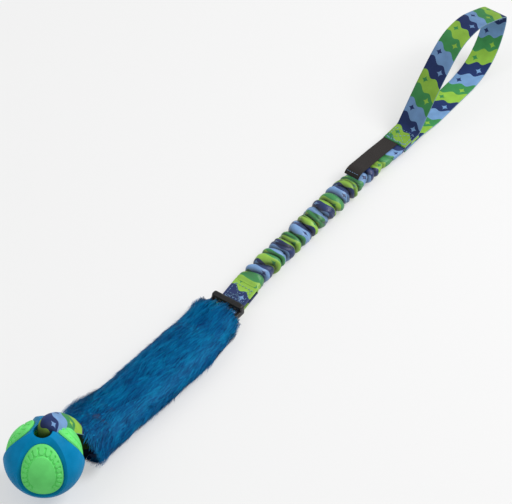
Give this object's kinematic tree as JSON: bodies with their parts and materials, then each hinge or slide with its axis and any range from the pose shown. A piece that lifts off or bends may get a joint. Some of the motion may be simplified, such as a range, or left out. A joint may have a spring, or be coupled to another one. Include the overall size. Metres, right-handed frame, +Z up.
{
  "type": "bungee ball tug toy",
  "caption": "Rubber ball on a webbing loop, faux-fur sleeve, slide buckle, ruched bungee and hand loop, joined end to end.",
  "frame": {"origin": "centre of the bounding box's bottom, on the surface that the toy lies on", "axes": "+X along the toy from the ball to the hand loop, +Z up, the straps' flat faces up and down"},
  "size_m": [0.7248, 0.0676, 0.0803],
  "materials": {
    "ball_rubber_blue": "matte moulded rubber",
    "ball_rubber_green": "satin moulded rubber",
    "printed_webbing": "printed polyester webbing in lime, green, light blue and navy bands",
    "faux_fur": "long-pile faux fur",
    "backing": "knitted backing",
    "buckle_plastic": "satin black acetal",
    "elastic": "braided elastic band",
    "label": "woven charcoal label",
    "thread": "bonded polyester thread"
  },
  "bodies": {
    "sleeve": {"fur_sleeve": "faux_fur", "fur_hem": "backing", "core_strap": "printed_webbing", "strap_bartack": "thread", "neck_binding": "thread"},
    "ball_loop": {"ball_strap": "printed_webbing"},
    "ball": {"ball_shell": "ball_rubber_blue", "ball_core": "ball_rubber_green"},
    "buckle_body": {"buckle": "buckle_plastic"},
    "bungee": {"bungee_tab": "printed_webbing", "tab_stitching": "thread", "bungee_cover": "printed_webbing", "bungee_elastic": "elastic", "elastic_lower_tack": "thread"},
    "bungee_end": {"bungee_top_end": "printed_webbing", "woven_label": "label", "label_tack": "thread", "elastic_upper_tack": "thread"},
    "handle": {"handle_webbing": "printed_webbing", "handle_box_stitch": "thread"}
  },
  "joints": [
    {"name": "ball_swing", "type": "hinge", "parent": "sleeve", "child": "ball_loop", "pos_m": [-0.26342, 0, 0.014], "axis": [0, 1, 0], "range_deg": [-60, 90], "deforming": ["ball_strap"]},
    {"name": "ball_spin", "type": "hinge", "parent": "ball_loop", "child": "ball", "pos_m": [-0.32742, 0, 0.03771], "axis": [0, 0, 1], "continuous": true},
    {"name": "strap_pivot", "type": "hinge", "parent": "sleeve", "child": "buckle_body", "pos_m": [-0.08332, 0, 0.0075], "axis": [0, -1, 0], "range_deg": [-80, 80]},
    {"name": "tab_pivot", "type": "hinge", "parent": "buckle_body", "child": "bungee", "pos_m": [-0.07552, 0, 0.0075], "axis": [0, 1, 0], "range_deg": [0, 90]},
    {"name": "bungee_stretch", "type": "slide", "parent": "bungee", "child": "bungee_end", "axis": [1, 0, 0], "range_m": [0, 0.11], "stiffness_N_per_m": 260, "deforming": ["bungee_cover", "bungee_elastic"]},
    {"name": "handle_flex", "type": "hinge", "parent": "bungee_end", "child": "handle", "pos_m": [0.19158, 0, 0.008], "axis": [0, 1, 0], "range_deg": [-75, 75], "deforming": ["bungee_top_end", "woven_label"]}
  ]
}
